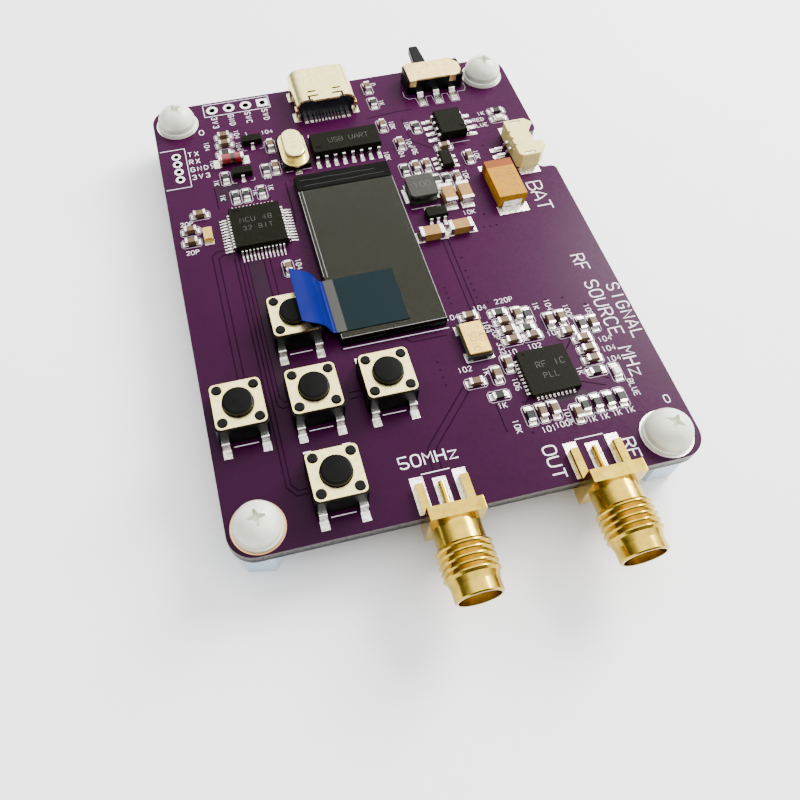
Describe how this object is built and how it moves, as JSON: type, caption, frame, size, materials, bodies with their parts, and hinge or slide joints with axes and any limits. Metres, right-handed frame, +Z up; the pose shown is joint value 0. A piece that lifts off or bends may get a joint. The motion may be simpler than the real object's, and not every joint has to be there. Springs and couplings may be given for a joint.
{
  "type": "radio-frequency signal source board",
  "caption": "Bare-board radio-frequency test module on nylon standoffs, with a small colour display, cross of push buttons, slide power switch, USB-C socket and edge coaxial sockets.",
  "frame": {"origin": "centre of the four standoff foot holes, on the plane the standoffs stand on", "axes": "+Z up out of the component side, +X to the right along the edge with the coaxial sockets, +Y away from them towards the USB edge"},
  "size_m": [0.0545, 0.0831, 0.0121],
  "materials": {
    "board": "satin solder mask",
    "gold_plating": "gold-plated",
    "nylon": "translucent nylon",
    "black_plastic": "satin",
    "nickel": "nickel-plated, satin",
    "tinned": "tinned",
    "tan_steel": "passivated",
    "cream_plastic": "satin",
    "white_plastic": "satin",
    "dark_glass": "gloss",
    "clear_film": "clear film",
    "blue_film": "tinted film",
    "chip_plastic": "moulded epoxy",
    "black_ceramic": "satin",
    "tan_ceramic": "fired ceramic",
    "grey_ferrite": "satin",
    "red_glass": "gloss",
    "ochre_plastic": "moulded epoxy"
  },
  "bodies": {
    "board": {"circuit_board": "board", "plated_holes": "gold_plating", "corner_screws": "nylon", "corner_standoffs": "nylon", "button_bases": "black_plastic", "button_covers": "nickel", "button_terminals": "tinned", "button_domes": "nickel", "power_switch_body": "black_plastic", "power_switch_cover": "tan_steel", "power_switch_terminals": "tinned", "usb_shell": "nickel", "usb_insulator": "black_plastic", "usb_contacts": "tinned", "battery_socket": "cream_plastic", "battery_socket_pins": "tinned", "battery_socket_nails": "tinned", "rf_socket_body": "gold_plating", "rf_socket_insulator": "white_plastic", "rf_socket_pin": "gold_plating", "clock_socket_body": "gold_plating", "clock_socket_insulator": "white_plastic", "clock_socket_pin": "gold_plating", "display_frame": "black_plastic", "display_glass": "dark_glass", "display_film": "clear_film", "display_pull_tab": "blue_film", "mcu_body": "chip_plastic", "mcu_leads": "tinned", "usb_bridge_body": "chip_plastic", "usb_bridge_leads": "tinned", "charger_body": "chip_plastic", "charger_leads": "tinned", "synthesizer_body": "chip_plastic", "synthesizer_lands": "tinned", "small_chip_bodies": "chip_plastic", "small_chip_leads": "tinned", "can_crystal_shell": "nickel", "can_crystal_leads": "tinned", "can_crystal_base": "black_plastic", "oscillator_lid": "gold_plating", "oscillator_base": "black_ceramic", "watch_crystal": "gold_plating", "ceramic_capacitors": "tan_ceramic", "large_capacitors": "tan_ceramic", "resistor_bodies": "black_ceramic", "chip_end_caps": "tinned", "tantalum_capacitor": "ochre_plastic", "tantalum_terminals": "tinned", "inductor_core": "grey_ferrite", "inductor_terminals": "tinned", "indicator_leds": "white_plastic", "glass_diode": "red_glass"},
    "up_button": {"button_up": "black_plastic"},
    "down_button": {"button_down": "black_plastic"},
    "left_button": {"button_left": "black_plastic"},
    "right_button": {"button_right": "black_plastic"},
    "centre_button": {"button_centre": "black_plastic"},
    "power_lever": {"power_switch_lever": "black_plastic", "power_switch_contact": "nickel"}
  },
  "joints": [
    {"name": "up_button_press", "type": "slide", "parent": "board", "child": "up_button", "axis": [0, 0, -1], "range_m": [0, 0.00025], "stiffness_N_per_m": 6400},
    {"name": "down_button_press", "type": "slide", "parent": "board", "child": "down_button", "axis": [0, 0, -1], "range_m": [0, 0.00025], "stiffness_N_per_m": 6400},
    {"name": "left_button_press", "type": "slide", "parent": "board", "child": "left_button", "axis": [0, 0, -1], "range_m": [0, 0.00025], "stiffness_N_per_m": 6400},
    {"name": "right_button_press", "type": "slide", "parent": "board", "child": "right_button", "axis": [0, 0, -1], "range_m": [0, 0.00025], "stiffness_N_per_m": 6400},
    {"name": "centre_button_press", "type": "slide", "parent": "board", "child": "centre_button", "axis": [0, 0, -1], "range_m": [0, 0.00025], "stiffness_N_per_m": 6400},
    {"name": "power_lever_slide", "type": "slide", "parent": "board", "child": "power_lever", "axis": [1, 0, 0], "range_m": [0, 0.0025]}
  ]
}
